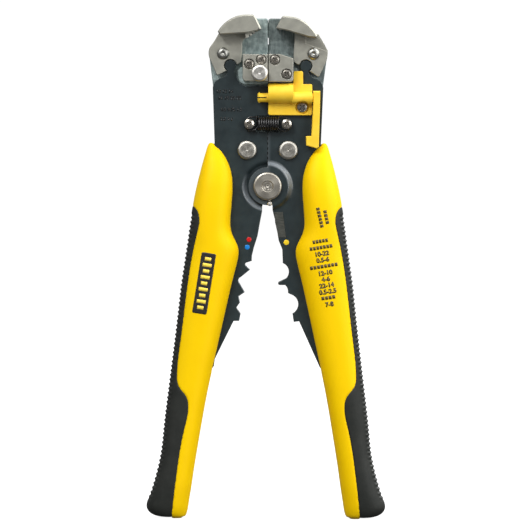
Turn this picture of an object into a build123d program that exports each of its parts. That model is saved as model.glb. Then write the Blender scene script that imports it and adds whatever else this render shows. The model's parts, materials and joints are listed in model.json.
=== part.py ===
from build123d import *
import os
from math import cos, pi, radians, sin

# Self-adjusting wire stripper, standing with its head up and its front towards -Y.
# Every piece is drawn about the main pivot (x = 0, z = 0, plates centred on y = 0),
# right-hand pieces on the +X side, then moved so that the origin is at the middle of
# the bottom of the whole tool. Millimetres.

# ---------------------------------------------------------------- driving dimensions
PIVOT_HEIGHT = 142.4          # main pivot above the butt ends of the handles
FORWARD_REACH = 11.0          # front of the tension knob, ahead of the plates' middle
BACK = 9.0                    # flat back of the jaw bodies and of the grips
RUN = 0.05                    # running clearance on radius
STATIC = 0.02                 # clearance of pieces that are fastened together
CENTRE_GAP = 0.06             # half of the hairline gap between left and right halves

PLATE = 1.5                   # half thickness of the handle plates
EAR = 3.05                    # outer face of the lapped ears at the pivot
EAR_RADIUS = 8.1
DISH_START = 8.4              # the joggle of the plates runs between these two radii
DISH_END = 11.2
PIVOT_SHANK = 3.6
PIVOT_HEAD = 6.1

JAW_PIVOT = (8.8, 15.45)      # jaw body turns on its handle plate here
JAW_SHANK = 2.4
JAW_HEAD = 4.1
JAW_BURR = 3.4                # burred tail of the jaw rivet and the face it bears on
JAW_BURR_SEAT = 6.6
JAW_SPRING_WELL = 4.2
JAW_FRONT = 1.65              # front face of the jaw bodies, just behind the plates
LEVER_PIVOT = (19.35, 56.7)   # hook lever turns on its jaw body here
LEVER_SHANK = 1.8
LEVER_HEAD = 2.6
CHEEK = 1.45                  # half thickness of the lever cheeks
HOOK_FRONT = -8.0             # front of the thick hooks
HOOK_EDGE = 0.55              # chamfer round their front
EDGE = 0.2                    # broken edges of plates and levers
BODY_EDGE = 0.35              # broken edges of the die-cast bodies
KNUCKLE = (16.15, 51.5)       # round knuckle of the handle plate in the lever's socket
KNUCKLE_RADIUS = 2.3
SOCKET_MOVES = ((17.77, 49.32), ((17.7, 53.71), (13.56, 52.25)))

SHELF_TOP = 56.5              # top edge of the lower jaw plates
SHELF_BOTTOM = 44.8
JAW_PLATE_FRONT = -7.5
JAW_PLATE_BACK = -5.5
GRIP_SCREWS = ((8.05, 52.2), (3.0, 54.1))
BLADE_SCREWS = ((2.85, 54.1), (7.9, 48.0))
SCREW_HEAD = 2.0
SCREW_SHANK = 1.1
SCREW_SINK = 2.35             # radius of the recess round a sunk head
LOWER_BLADE_X = (0.55, 1.25)

STOP_PIN = (0.95, -7.45)      # small pin in the lap under the main rivet
STOP_PIN_RADIUS = 1.0

POST = (8.0, 26.6)            # spring posts
POST_SHANK = 1.35
COIL_AXIS_Y = -3.2
COIL_RADIUS = 2.87            # to the middle of the wire
COIL_WIRE = 0.46
COIL_TURNS = 9
COIL_HALF_LENGTH = 4.5

KNOB = (3.64, 48.45)          # tension knob, on the left jaw
KNOB_RADIUS = 3.55
KNOB_STEM = 1.5

BRACKET_SCREW = (14.6, 33.8)
BRACKET_SHANK = 1.2
BRACKET_BOSS = 3.0
BRACKET_BACK = -1.6
STOP_AXIS_Y = -4.7
STOP_AXIS_Z = 37.9
STOP_SHAFT = 1.95
STOP_BAR_X = (19.3, 22.3)
STOP_STUB = 1.2


# ---------------------------------------------------------------- drawing helpers
def outline(start, *moves):
    """A closed face in x and z. A move is a point, or a pair (through, end) for an arc."""
    edges = []
    here = start
    for move in moves:
        if isinstance(move[0], tuple):
            through, end = move
            edges.append(ThreePointArc(here, through, end))
        else:
            end = move
            edges.append(Line(here, end))
        here = end
    if here != start:
        edges.append(Line(here, start))
    return make_face(edges)


def slab(face, front, back):
    """Thickens a face drawn in x and z, from y = front to y = back."""
    return extrude(Plane.XZ.offset(-back) * face, amount=back - front)


def edged_slab(face, front, back, edge=EDGE):
    """A slab whose front and back edges are broken by a small chamfer."""
    half = (back - front) / 2
    core = slab(face, edge - half, half - edge)
    cap = extrude(Plane.XZ.offset(half - edge) * face, amount=edge, taper=45)
    return Pos(0, (front + back) / 2, 0) * (core + cap + mirror(cap, about=Plane.XZ))


def disc(centre, radius, front, back):
    return slab(Pos(*centre) * Circle(radius), front, back)


def box_between(low, high):
    size = [b - a for a, b in zip(low, high)]
    middle = [(a + b) / 2 for a, b in zip(low, high)]
    return Pos(*middle) * Box(*size)


def rod_x(y, z, radius, start, end):
    """A round bar along x."""
    length = end - start
    return Pos((start + end) / 2, y, z) * Rot(0, 90, 0) * Cylinder(radius, length)


def turned(centre, *profile):
    """A turned piece about a y line through centre; profile points are (radius, y)."""
    face = make_face(Polyline(*profile, close=True))
    return Pos(centre[0], 0, centre[1]) * revolve(face, axis=Axis.Y)


def mirrored(shape):
    return mirror(shape, about=Plane.YZ)


def cross_recess(centre, front, arm, depth):
    """A tapered cross slot for a screwdriver, cut into a head whose front is at y = front."""
    slot = Rectangle(2 * arm, 0.5 * arm)
    bottom = Rectangle(1.1 * arm, 0.3 * arm)
    cut = None
    for turn in (45, 135):
        wide = Plane.XZ.offset(-front + 0.05) * Pos(*centre) * Rot(0, 0, turn) * slot
        narrow = Plane.XZ.offset(-front - depth) * Pos(*centre) * Rot(0, 0, turn) * bottom
        arm_cut = loft([wide, narrow])
        cut = arm_cut if cut is None else cut + arm_cut
    return cut


def screw(centre, head_radius, front, seat, end, shank_radius):
    """A cross-head screw along +y with a low domed head."""
    body = turned(
        centre,
        (0, front),
        (head_radius * 0.6, front + 0.06),
        (head_radius - 0.15, front + 0.22),
        (head_radius, front + 0.4),
        (head_radius, seat),
        (shank_radius, seat),
        (shank_radius, end - 0.4),
        (shank_radius - 0.3, end),
        (0, end),
    )
    return body - cross_recess(centre, front, head_radius * 0.72, 0.75)


# ---------------------------------------------------------------- handle plates
def dish(side):
    """The layer that a plate fills: flat, with its ear joggled to the front (side -1)
    or to the back (side +1) around the pivot by a smooth curve."""
    reach = 170
    inner = 0.05 * side
    outer = EAR * side
    near = -PLATE * side
    far = PLATE * side
    level = ((1, 0), (1, 0))
    edges = [
        Line((0, inner), (DISH_START, inner)),
        Spline((DISH_START, inner), (DISH_END, near), tangents=level),
        Line((DISH_END, near), (reach, near)),
        Line((reach, near), (reach, far)),
        Line((reach, far), (DISH_END, far)),
        Spline((DISH_END, far), (DISH_START, outer), tangents=((-1, 0), (-1, 0))),
        Line((DISH_START, outer), (0, outer)),
        Line((0, outer), (0, inner)),
    ]
    return revolve(make_face(edges), axis=Axis.Y)


def knuckle():
    neck = outline((14.45, 46.5), (14.5, 50.2), KNUCKLE, (17.25, 49.4), (17.6, 46.5))
    return neck + Pos(*KNUCKLE) * Circle(KNUCKLE_RADIUS)


def plate_head():
    """The plate above the pivot, with its shoulders and the tang that the grip hides."""
    return outline(
        (CENTRE_GAP, 0),
        (CENTRE_GAP, 42.5),
        (7.7, 42.6),
        ((11.6, 43.6), (13.2, 45.9)),
        (14.45, 48.6),
        (17.25, 48.6),
        ((18.1, 47.3), (19.6, 46.2)),
        ((22.5, 44.6), (23.65, 42.2)),
        (22.75, 18.4),
        (23.9, 9.0),
        (27.6, -12.0),
        (30.2, -32.0),
        (5.0, -20.0),
    )


def plate_tang():
    """The long tongue inside the grip, rounded at its end."""
    return outline(
        (22.5, -20.0),
        (28.6, -20.0),
        (33.0, -55.0),
        (35.5, -78.0),
        (39.2, -117.0),
        ((38.2, -121.4), (34.9, -118.6)),
        (30.2, -99.0),
        (25.4, -81.5),
        (22.5, -77.0),
        (20.5, -60.0),
    )


def right_gap_edge():
    """The right plate below the pivot: cutter edge, round nests and the hooked tooth."""
    return outline(
        (2.05, -6.5),
        (2.2, -10.3),
        (3.75, -16.3),
        (4.85, -23.1),
        (6.45, -27.0),
        (6.7, -32.9),
        ((9.3, -36.4), (8.2, -39.4)),
        (5.1, -40.9),
        ((4.75, -41.5), (5.6, -42.3)),
        (7.8, -42.3),
        ((8.7, -43.6), (9.0, -45.7)),
        (10.3, -46.3),
        ((13.4, -50.5), (10.95, -54.5)),
        (11.5, -58.1),
        (13.8, -57.8),
        (22.6, -77.1),
        (26.0, -77.1),
        (30.0, -20.0),
        (20.0, 5.0),
        (6.0, 5.0),
    )


def left_gap_edge():
    """The left plate below the pivot, drawn on the +X side: pointed crimping nests."""
    return outline(
        (2.2, -6.5),
        (2.25, -10.9),
        (3.2, -15.9),
        (4.1, -21.2),
        (5.7, -26.3),
        (6.5, -29.8),
        (6.55, -32.0),
        (8.6, -32.7),
        ((9.3, -33.2), (9.1, -34.0)),
        (7.3, -35.75),
        (11.4, -39.1),
        ((12.2, -40.0), (12.0, -41.1)),
        (9.5, -45.4),
        (12.1, -47.2),
        (11.55, -49.8),
        (13.0, -52.0),
        (11.2, -54.55),
        (11.8, -57.75),
        (14.2, -57.8),
        (23.8, -77.5),
        (26.0, -77.5),
        (30.0, -20.0),
        (20.0, 5.0),
        (6.0, 5.0),
    )


def spring_window():
    """Half of the window behind the return spring."""
    return Pos(0, POST[1]) * Rectangle(10.4, 7.2)


def cutter_outline():
    return outline((3.0, -11.1), (6.6, -11.1), (8.0, -21.9), (4.8, -21.9), (3.3, -15.5))


def handle_plate(gap_edge, side):
    """One plate on the +X side; side -1 puts its ear in front, +1 behind."""
    above = outline((CENTRE_GAP, EAR_RADIUS), (CENTRE_GAP, 60), (-20, 60), (-20, EAR_RADIUS))
    upper = plate_head() + Circle(EAR_RADIUS) + knuckle() - above - spring_window()
    lower = edged_slab(plate_tang() + gap_edge, -PLATE, PLATE)
    lower = lower - slab(above, -4, 4)
    ear = slab((upper + gap_edge - above) & Circle(DISH_END), -4, 4)
    layer = (slab(upper, -PLATE, PLATE) + lower + ear) & dish(side)
    shank = PIVOT_SHANK + (STATIC if side < 0 else RUN)
    layer = layer - disc((0, 0), shank, -4, 4)
    layer = layer - disc(JAW_PIVOT, JAW_SHANK + STATIC, -4, 4)
    layer = layer - disc(POST, POST_SHANK + STATIC, -4, 4)
    return layer


def cutter_pocket():
    return slab(offset(cutter_outline(), STATIC), -2.0, -0.6)


def boss_slot():
    """Room for the bracket's boss, which travels as the jaw turns on its plate."""
    travel = 2.2
    lean = -14.7
    middle = (BRACKET_SCREW[0] - 0.9, BRACKET_SCREW[1] + 0.24)
    track = SlotCenterToCenter(travel, 2 * (BRACKET_BOSS + 0.22), rotation=lean)
    return slab(Pos(*middle) * track, -4, 4)


def right_handle_plate():
    plate = handle_plate(right_gap_edge(), -1)
    plate = plate - cutter_pocket()
    plate = plate - boss_slot()
    return plate - disc(STOP_PIN, STOP_PIN_RADIUS + STATIC, -4, 4)


def left_handle_plate():
    plate = handle_plate(left_gap_edge(), 1)
    plate = plate - mirror(cutter_pocket(), about=Plane.XZ)
    return mirrored(plate)


def cutter_insert():
    """A hardened shear blade let into the plate beside the gap."""
    return slab(cutter_outline(), -1.7, -0.6)


def handle_stop_pin():
    return turned(
        STOP_PIN,
        (0, -3.75),
        (STOP_PIN_RADIUS * 0.7, -3.65),
        (STOP_PIN_RADIUS, -3.4),
        (STOP_PIN_RADIUS, -0.1),
        (0, -0.1),
    )


# ---------------------------------------------------------------- rivets and pins
def main_pivot_rivet():
    head_front = -EAR - 1.75
    tail = EAR + 0.6
    return turned(
        (0, 0),
        (0, head_front + 0.75),
        (0.55, head_front + 0.45),
        (1.3, head_front + 0.45),
        (1.45, head_front + 0.3),
        (2.2, head_front + 0.3),
        (2.5, head_front),
        (PIVOT_HEAD - 0.75, head_front + 0.12),
        (PIVOT_HEAD - 0.2, head_front + 0.42),
        (PIVOT_HEAD, head_front + 0.8),
        (PIVOT_HEAD, -EAR - STATIC),
        (PIVOT_SHANK, -EAR - STATIC),
        (PIVOT_SHANK, tail + STATIC),
        (5.2, tail + STATIC),
        (5.2, tail + 0.5),
        (4.4, tail + 1.1),
        (0, tail + 1.3),
    )


def pivot_washer():
    ring = disc((0, 0), 6.6, EAR + STATIC, EAR + 0.6)
    return ring - disc((0, 0), PIVOT_SHANK + STATIC, 0, 6)


def jaw_rivet():
    """Headed at the front, burred over in a counterbore of the jaw body."""
    front = -PLATE - 1.6
    tail_seat = JAW_BURR_SEAT
    return turned(
        JAW_PIVOT,
        (0, front + 0.3),
        (0.4, front + 0.05),
        (JAW_HEAD - 1.1, front),
        (JAW_HEAD - 0.35, front + 0.25),
        (JAW_HEAD, front + 0.75),
        (JAW_HEAD, -PLATE - STATIC),
        (JAW_SHANK, -PLATE - STATIC),
        (JAW_SHANK, tail_seat + STATIC),
        (JAW_BURR, tail_seat + STATIC),
        (JAW_BURR, tail_seat + 0.8),
        (2.6, tail_seat + 1.5),
        (0, tail_seat + 1.6),
    )


def lever_pin():
    front = -CHEEK - 1.25
    return turned(
        LEVER_PIVOT,
        (0, front + 0.55),
        (0.5, front + 0.35),
        (0.85, front + 0.05),
        (1.3, front),
        (LEVER_HEAD - 0.7, front + 0.3),
        (LEVER_HEAD - 0.15, front + 0.75),
        (LEVER_HEAD, front + 1.0),
        (LEVER_HEAD, -CHEEK - RUN),
        (LEVER_SHANK, -CHEEK - RUN),
        (LEVER_SHANK, 8.4),
        (LEVER_SHANK - 0.4, 8.7),
        (0, 8.7),
    )


# ---------------------------------------------------------------- springs
def torsion_spring():
    """Small coil round the jaw rivet that holds the jaw body home on its plate."""
    coil_radius = 3.3
    wire = 0.35
    path = Helix(pitch=0.8, height=1.6, radius=coil_radius)
    section = Plane(origin=path @ 0, z_dir=path % 0) * Circle(wire)
    coil = sweep(section, path)
    coil = Pos(JAW_PIVOT[0], 2.35, JAW_PIVOT[1]) * Rot(-90, 0, 0) * coil
    return coil


def return_spring():
    """Extension spring between the two posts: a close-wound coil, drawn as touching
    rings on a thin tube, with a full loop at each end."""
    pitch = 2 * COIL_HALF_LENGTH / COIL_TURNS
    bore = COIL_RADIUS - COIL_WIRE
    valley = COIL_RADIUS + 0.15
    edges = [Line((bore, -COIL_HALF_LENGTH), (valley, -COIL_HALF_LENGTH))]
    for turn in range(COIL_TURNS):
        low = -COIL_HALF_LENGTH + pitch * turn
        crest = (COIL_RADIUS + COIL_WIRE, low + pitch / 2)
        edges.append(ThreePointArc((valley, low), crest, (valley, low + pitch)))
    edges.append(Line((valley, COIL_HALF_LENGTH), (bore, COIL_HALF_LENGTH)))
    edges.append(Line((bore, COIL_HALF_LENGTH), (bore, -COIL_HALF_LENGTH)))
    coil = revolve(make_face(edges), axis=Axis.Y)
    spring = Pos(0, COIL_AXIS_Y, POST[1]) * Rot(0, 0, 90) * coil
    loop_centre = POST[0] - 1.0
    for side in (-1, 1):
        loop = Pos(side * loop_centre, COIL_AXIS_Y, POST[1]) * Rot(90, 0, 0)
        inner_end = side * (COIL_HALF_LENGTH - 0.3)
        ends = sorted((inner_end, side * loop_centre))
        bridge = rod_x(COIL_AXIS_Y, POST[1] + COIL_RADIUS, 0.4, *ends)
        spring = spring + loop * Torus(COIL_RADIUS, COIL_WIRE) + bridge
    return spring


def spring_post():
    front = COIL_AXIS_Y - 1.75
    seat = COIL_AXIS_Y - 0.55
    post = turned(
        POST,
        (0, front),
        (1.3, front + 0.08),
        (2.1, front + 0.4),
        (2.1, seat),
        (POST_SHANK, seat),
        (POST_SHANK, COIL_AXIS_Y + 0.55),
        (2.0, COIL_AXIS_Y + 0.55),
        (2.0, -PLATE - STATIC),
        (POST_SHANK, -PLATE - STATIC),
        (POST_SHANK, PLATE - 0.1),
        (0, PLATE - 0.1),
    )
    return post - cross_recess(POST, front, 1.45, 0.6)


# ---------------------------------------------------------------- grips
def grip_section(z, inner, outer, half_depth):
    """A rounded slice of the grip at height z, as a superellipse."""
    half_width = (outer - inner) / 2
    middle = (outer + inner) / 2
    squareness = 0.8
    points = []
    for step in range(20):
        turn = 2 * pi * step / 20
        c = cos(turn)
        s = sin(turn)
        x = middle + half_width * abs(c) ** squareness * (1 if c >= 0 else -1)
        y = half_depth * abs(s) ** squareness * (1 if s >= 0 else -1)
        points.append((x, y))
    ring = Spline(*points, periodic=True)
    return Pos(0, 0, z) * make_face(ring)


def grip():
    """The whole right grip: pointed finger guard at the top, flared butt at the bottom."""
    full = BACK - 0.05
    slices = (
        (18.4, 23.75, 24.65, 0.6),
        (17.6, 22.3, 25.35, 1.6),
        (15.5, 20.1, 26.1, 2.9),
        (12.0, 17.8, 27.1, 4.9),
        (8.0, 16.1, 28.2, 6.5),
        (2.0, 15.0, 29.7, 8.0),
        (-6.0, 15.2, 31.4, 8.8),
        (-14.0, 15.8, 32.7, full),
        (-18.5, 15.6, 33.4, full),
        (-22.3, 14.2, 33.9, full),
        (-25.2, 12.75, 34.3, full),
        (-28.4, 12.15, 34.8, full),
        (-32.0, 12.65, 35.3, full),
        (-38.6, 14.3, 36.3, full),
        (-52.0, 17.4, 37.9, full),
        (-70.0, 21.4, 40.0, full),
        (-88.0, 25.3, 42.2, full),
        (-104.0, 28.15, 44.05, full),
        (-114.0, 29.8, 45.1, full),
        (-123.0, 31.2, 47.0, full),
        (-130.0, 32.2, 49.0, 8.9),
        (-135.0, 33.0, 50.6, 8.6),
        (-138.0, 33.45, 50.95, 8.2),
        (-140.2, 33.95, 49.4, 7.4),
        (-141.6, 34.8, 44.8, 6.0),
        (-PIVOT_HEIGHT, 36.2, 40.2, 3.6),
    )
    return loft([grip_section(*one) for one in slices])


def overmould_zone():
    """The outer part of the grip that is moulded in soft rubber, as a block along y."""
    edge = Spline(
        (33.5, -8.3),
        (30.3, -9.9),
        (29.1, -13.0),
        (29.9, -20.0),
        (33.85, -42.0),
        (36.5, -64.0),
        (38.2, -80.5),
        (37.6, -85.3),
        (34.3, -90.0),
        (33.4, -94.6),
        (35.1, -104.0),
        (38.4, -124.0),
        (40.5, -144.0),
    )
    rest = Polyline((40.5, -144.0), (60, -144.0), (60, -8.3), (33.5, -8.3))
    face = make_face([edge, rest])
    return slab(face, -12, 12)


def grip_pieces():
    """The hard core and the soft overmould of the right grip."""
    tongue = plate_head() + plate_tang() + right_gap_edge() + left_gap_edge()
    whole = grip() - slab(tongue, -PLATE, PLATE)
    zone = overmould_zone()
    return whole - zone, whole & zone


# ---------------------------------------------------------------- jaw bodies
def jaw_outline():
    """The die-cast body behind its plate, drawn on the +X side."""
    hull = outline(
        (CENTRE_GAP, 22.0),
        (CENTRE_GAP, 70.7),
        ((0.35, 71.4), (1.1, 71.7)),
        (5.2, 71.7),
        (12.0, 71.2),
        (17.0, 68.7),
        (20.4, 64.5),
        (22.3, 61.9),
        (25.3, 57.6),
        (25.35, 56.7),
        (23.6, 43.2),
        (22.6, 36.0),
        (14.2, 17.2),
        (3.4, 17.2),
    )
    return hull + Pos(*JAW_PIVOT) * Circle(5.8)


def jaw_shelf():
    """The block that carries a lower jaw plate, and the lower rim round it."""
    block_face = outline(
        (0.12, SHELF_BOTTOM + 0.4),
        (0.12, SHELF_TOP - 0.2),
        (8.6, SHELF_TOP - 0.2),
        (9.7, SHELF_TOP - 1.0),
        (10.6, SHELF_TOP - 2.6),
        (10.6, SHELF_BOTTOM + 0.4),
    )
    block = slab(block_face, JAW_PLATE_BACK, JAW_FRONT + 0.5)
    rim_face = outline(
        (0.12, 43.5),
        (9.4, 43.5),
        ((11.7, 44.4), (12.6, 46.6)),
        (12.9, 48.2),
        ((12.6, 49.9), (10.9, 50.8)),
        (10.9, 54.0),
        (0.12, 54.0),
    )
    rim = slab(rim_face, -1.2, JAW_FRONT + 0.8)
    return block + rim


def rear_pockets():
    """Lightening pockets in the flat back, with a rib between them."""
    lower = outline((3.4, 26.0), (3.4, 40.0), (10.2, 40.0), (10.2, 24.5), (6.0, 23.6))
    upper = outline((3.4, 59.0), (3.4, 68.4), (14.8, 66.6), (16.0, 62.4), (13.2, 59.0))
    cut = None
    for face in (lower, upper):
        pocket = slab(fillet(face.vertices(), 1.2), 5.4, BACK + 1)
        cut = pocket if cut is None else cut + pocket
    return cut


def jaw_body():
    body = edged_slab(jaw_outline(), JAW_FRONT, BACK, BODY_EDGE)
    body = body + jaw_shelf()
    body = body - disc(JAW_PIVOT, JAW_SHANK + RUN, 0, 12)
    body = body - disc(JAW_PIVOT, JAW_SPRING_WELL, 0, 4.6)
    body = body - disc(JAW_PIVOT, JAW_BURR + 0.3, JAW_BURR_SEAT - RUN, 12)
    body = body - disc(LEVER_PIVOT, LEVER_SHANK + STATIC, 0, 12)
    return body - rear_pockets()


def lap(clearance):
    """The back half of the seam between the jaws runs a little to the left of the front half,
    so that no light shows through it. Drawn in place; it belongs to the right jaw."""
    inner = -0.6 - clearance
    depth = 5.2 - clearance
    rear = BACK - 0.5 + clearance
    return box_between((inner, depth, 24.0 - clearance), (0.2, rear, 70.0 + clearance))


def seam_window():
    """The one spot where light does show between the jaws."""
    return box_between((-1, 0, 60.6), (0.17, 12, 63.4))


def left_jaw_body():
    body = jaw_body() - mirrored(lap(2 * CENTRE_GAP)) - seam_window()
    body = body - disc(KNOB, KNOB_STEM + RUN, -10, 12)
    body = body - disc(KNOB, 3.0, 4.6, 12)
    for centre in GRIP_SCREWS:
        body = body - disc(centre, SCREW_SHANK + STATIC, -10, -1.0)
    return mirrored(body)


def right_jaw_body():
    boss = disc(BRACKET_SCREW, BRACKET_BOSS, BRACKET_BACK + STATIC, JAW_FRONT + 0.5)
    body = jaw_body() + lap(0) + boss
    body = body - seam_window()
    body = body - disc(BRACKET_SCREW, BRACKET_SHANK + STATIC, -4, 6)
    for centre in BLADE_SCREWS:
        body = body - disc(centre, SCREW_SHANK + STATIC, -10, -1.0)
    return body - lower_blade_slot()


# ---------------------------------------------------------------- lower jaw plates
def sunk_holes(plate, centres):
    for centre in centres:
        plate = plate - disc(centre, SCREW_SHANK + STATIC, -10, 0)
        plate = plate - disc(centre, SCREW_SINK, -10, JAW_PLATE_BACK - 0.7)
    return plate


def lower_grip_plate():
    """Toothed lower jaw of the left side."""
    left = 0.21
    right = 10.87
    face = outline(
        (left, SHELF_BOTTOM + 0.2),
        (left, SHELF_TOP),
        (right, SHELF_TOP),
        (right, SHELF_BOTTOM + 1.6),
        ((right - 0.5, SHELF_BOTTOM + 0.6), (right - 1.6, SHELF_BOTTOM + 0.2)),
    )
    plate = edged_slab(face, JAW_PLATE_FRONT, JAW_PLATE_BACK - STATIC)
    pitch = 1.41
    for tooth in range(7):
        x = left + 0.8 + pitch * tooth
        above = SHELF_TOP + 0.1
        notch = outline((x - 0.35, above), (x + 0.35, above), (x, SHELF_TOP - 0.6))
        plate = plate - slab(notch, -10, 0)
    plate = sunk_holes(plate, GRIP_SCREWS)
    plate = plate - disc(KNOB, KNOB_STEM + RUN, -10, 0)
    return mirrored(plate)


def lower_blade_plate():
    """Clamp plate over the lower blade, with a sloping outer corner."""
    left = 0.17
    right = 10.74
    face = outline(
        (left, SHELF_BOTTOM - 0.1),
        (left, SHELF_TOP),
        (5.2, SHELF_TOP),
        (right, SHELF_TOP - 1.8),
        (right, SHELF_BOTTOM + 1.1),
        ((right - 0.3, SHELF_BOTTOM + 0.25), (right - 1.2, SHELF_BOTTOM - 0.1)),
    )
    plate = edged_slab(face, JAW_PLATE_FRONT, JAW_PLATE_BACK - STATIC)
    return sunk_holes(plate, BLADE_SCREWS)


def jaw_screws(centres):
    """The two sunk screws of a lower jaw plate."""
    group = []
    for centre in centres:
        seat = JAW_PLATE_BACK - 0.7 - STATIC
        group.append(screw(centre, SCREW_HEAD, JAW_PLATE_FRONT + 0.05, seat, -1.3, SCREW_SHANK))
    return group


def lower_blade():
    """A thin upright knife across the jaw, with a shallow notch for the wire."""
    start, end = LOWER_BLADE_X
    top = SHELF_TOP + 0.7
    profile = outline((start, SHELF_TOP - 4.6), (start, top), (end, top - 0.5), (end, SHELF_TOP - 4.6))
    blade = slab(profile, JAW_PLATE_BACK + 0.05, JAW_FRONT - 0.6)
    notch = rod_x(-2.0, top + 0.75, 1.3, start - 1, end + 1)
    return blade - notch


def lower_blade_slot():
    start, end = LOWER_BLADE_X
    slot_low = (start - STATIC, JAW_PLATE_BACK - 1, SHELF_TOP - 4.6 - STATIC)
    return box_between(slot_low, (end + STATIC, JAW_FRONT - 0.6 + STATIC, SHELF_TOP + 3))


# ---------------------------------------------------------------- hook levers
def grip_cheek():
    return outline(
        (21.14, 65.4),
        (22.9, 62.2),
        (25.1, 59.1),
        ((25.5, 57.2), (25.1, 54.6)),
        (22.2, 48.0),
        ((21.7, 47.5), (21.0, 47.6)),
        *SOCKET_MOVES,
        (13.2, 51.8),
        (11.45, 53.1),
        (11.2, 55.7),
        (11.05, 60.0),
        (11.2, 60.9),
        ((10.5, 62.4), (8.7, 63.5)),
        (8.7, 66.5),
    )


def grip_hook():
    return outline(
        (2.95, 67.15),
        (3.45, 68.35),
        (5.2, 71.8),
        ((6.0, 73.0), (7.6, 73.3)),
        ((15.7, 71.75), (21.6, 66.0)),
        (20.7, 64.65),
        (8.7, 65.45),
        (3.85, 66.6),
    )


def gripping_lever():
    """Upper left jaw: a flat cheek with a socket, a thick hook, and under the hook a toothed
    pad that comes down flat on the lower jaw."""
    hook = slab(grip_hook(), HOOK_FRONT, CHEEK)
    hook = chamfer(hook.faces().sort_by(Axis.Y)[0].edges(), HOOK_EDGE)
    heel = (8.7, 63.5)
    tip = (3.25, 66.95)
    pad = slab(outline(heel, tip, (4.0, 67.6), (10.0, 66.5), (9.6, 63.2)), -6.6, CHEEK)
    lever = edged_slab(grip_cheek(), -CHEEK, CHEEK) + hook + pad
    teeth = 4
    for tooth in range(teeth):
        share = (tooth + 0.5) / teeth
        x = heel[0] + (tip[0] - heel[0]) * share
        z = heel[1] + (tip[1] - heel[1]) * share
        root = ((x + 0.42, z + 0.85), (x + 0.14, z + 0.95))
        notch = outline((x - 0.62, z - 0.5), (x + 0.2, z - 0.7), *root)
        lever = lever - slab(notch, -12, CHEEK + 1)
    lever = lever - disc(LEVER_PIVOT, LEVER_SHANK + RUN, -12, 12)
    return mirrored(lever)


def blade_cheek():
    return outline(
        (21.5, 65.0),
        (23.9, 61.1),
        (25.5, 58.0),
        (25.5, 57.2),
        ((25.3, 55.2), (24.9, 53.5)),
        (22.2, 47.7),
        ((21.6, 47.0), (20.8, 47.2)),
        *SOCKET_MOVES,
        (12.9, 51.9),
        (11.1, 53.1),
        (10.8, 55.7),
        (11.2, 63.1),
        (11.2, 66.5),
    )


def blade_hook():
    return outline(
        (3.35, 67.65),
        (3.8, 68.6),
        (5.4, 71.6),
        ((6.0, 72.6), (7.0, 72.85)),
        (11.2, 72.4),
        ((17.2, 69.1), (20.9, 64.4)),
        (20.8, 63.5),
        (17.3, 63.8),
        (7.5, 66.65),
        (4.25, 67.2),
    )


def blade_lever():
    """Upper right jaw: cheek with a raised lower facet, and a thick hook holding the blade."""
    hook = slab(blade_hook(), HOOK_FRONT, CHEEK)
    hook = chamfer(hook.faces().sort_by(Axis.Y)[0].edges(), HOOK_EDGE)
    cheek = edged_slab(blade_cheek(), -CHEEK, CHEEK)
    step = outline((16.05, 60.9), (26.5, 57.3), (26.5, 66.0), (16.05, 66.0))
    cheek = cheek - slab(step, -3, -CHEEK + 0.4)
    lever = cheek + hook
    lever = lever - slab(offset(upper_blade_face(), STATIC), HOOK_FRONT + 0.8, CHEEK + 1)
    return lever - disc(LEVER_PIVOT, LEVER_SHANK + RUN, -12, 12)


def upper_blade_face():
    """Section of the knife in the hook: upright once the lever has closed."""
    lean = radians(28.0)
    foot_x = 4.75
    foot_z = 66.75
    width = 0.7
    length = 4.0
    across = (cos(lean) * width, -sin(lean) * width)
    along = (sin(lean) * length, cos(lean) * length)
    return outline(
        (foot_x, foot_z),
        (foot_x + along[0], foot_z + along[1]),
        (foot_x + along[0] + across[0], foot_z + along[1] + across[1]),
        (foot_x + across[0], foot_z + across[1] + 0.35),
    )


def upper_blade():
    return slab(upper_blade_face(), HOOK_FRONT + 0.8 + STATIC, CHEEK)


# ---------------------------------------------------------------- tension knob
def tension_knob():
    """A turned thumb knob with a long stem through the left jaw."""
    front = -FORWARD_REACH
    seat = JAW_PLATE_FRONT - 0.1
    knob = turned(
        KNOB,
        (0, front + 0.35),
        (0.45, front + 0.1),
        (KNOB_RADIUS - 0.9, front),
        (KNOB_RADIUS - 0.3, front + 0.2),
        (KNOB_RADIUS, front + 0.6),
        (KNOB_RADIUS, seat - 0.3),
        (KNOB_RADIUS - 0.3, seat),
        (KNOB_STEM, seat),
        (KNOB_STEM, 8.4),
        (0, 8.4),
    )
    return mirrored(knob)


def knob_spring():
    path = Helix(pitch=0.85, height=1.7, radius=2.25)
    section = Plane(origin=path @ 0, z_dir=path % 0) * Circle(0.3)
    coil = sweep(section, path)
    return mirrored(Pos(KNOB[0], 4.95, KNOB[1]) * Rot(-90, 0, 0) * coil)


def knob_nut():
    face = RegularPolygon(2.6, 6) - Circle(KNOB_STEM + RUN)
    return mirrored(slab(Pos(*KNOB) * face, 7.0, 8.5))


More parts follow.
